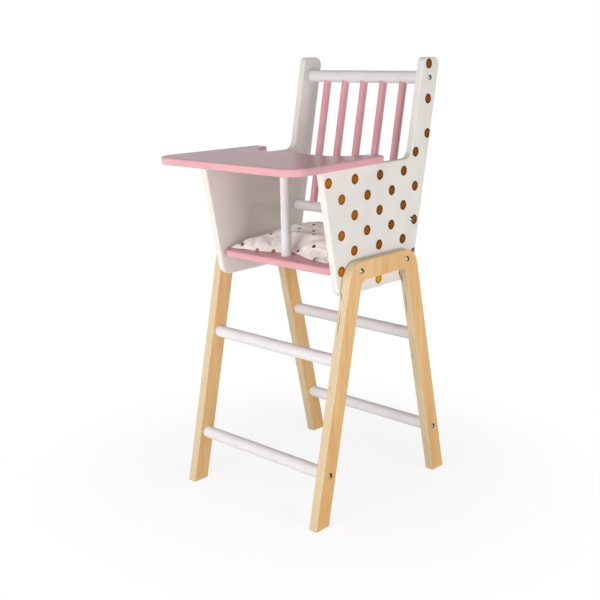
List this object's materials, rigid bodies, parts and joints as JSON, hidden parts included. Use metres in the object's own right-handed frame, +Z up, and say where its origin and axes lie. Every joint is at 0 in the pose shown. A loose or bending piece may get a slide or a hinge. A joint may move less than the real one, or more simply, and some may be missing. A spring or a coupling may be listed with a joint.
{
  "type": "doll high chair",
  "caption": "Toy high chair for a doll: plywood leg frames with rungs, white side panels with dots, pink seat, tray and back spindles, loose seat cushion.",
  "frame": {"origin": "on the floor, in the middle of the bounding box", "axes": "+Z up; the chair faces -Y, with the tray's front edge towards -Y; +X to its right side as seen from the front"},
  "size_m": [0.2402, 0.2972, 0.5581],
  "materials": {
    "birch_ply": "clear satin varnish on birch plywood, with pale striped edges",
    "dotted_white_paint": "satin white paint, with gold-brown dots on the outer faces",
    "white_paint": "satin white paint",
    "pink_paint": "semi-gloss pink paint",
    "plain_wood": "bare beech",
    "steel": "bright zinc-plated steel",
    "dotted_cotton": "off-white printed cotton with small brown dots, soft stuffing"
  },
  "bodies": {
    "chair": {"left_leg_frame": "birch_ply", "right_leg_frame": "birch_ply", "left_side_panel": "dotted_white_paint", "right_side_panel": "dotted_white_paint", "front_post": "white_paint", "front_upper_rung": "white_paint", "back_upper_rung": "white_paint", "front_lower_rung": "white_paint", "back_lower_rung": "white_paint", "top_rail": "white_paint", "low_rail": "white_paint", "seat_board": "pink_paint", "tray": "pink_paint", "back_spindle_1": "pink_paint", "back_spindle_2": "pink_paint", "back_spindle_3": "pink_paint", "back_spindle_4": "pink_paint", "back_spindle_5": "pink_paint", "tray_pin_left_front": "plain_wood", "tray_pin_left_back": "plain_wood", "tray_pin_right_front": "plain_wood", "tray_pin_right_back": "plain_wood", "seat_screw_left_front": "steel", "seat_screw_left_back": "steel", "seat_screw_right_front": "steel", "seat_screw_right_back": "steel", "rung_screw_left_front": "steel", "rung_screw_left_back": "steel", "rung_screw_right_front": "steel", "rung_screw_right_back": "steel", "top_rail_screw_left": "steel", "top_rail_screw_right": "steel", "low_rail_screw_left": "steel", "low_rail_screw_right": "steel"},
    "cushion": {"seat_cushion": "dotted_cotton"}
  },
  "joints": [
    {"name": "cushion_out", "type": "slide", "parent": "chair", "child": "cushion", "axis": [0, 1, 0], "range_m": [0, 0.21]}
  ]
}
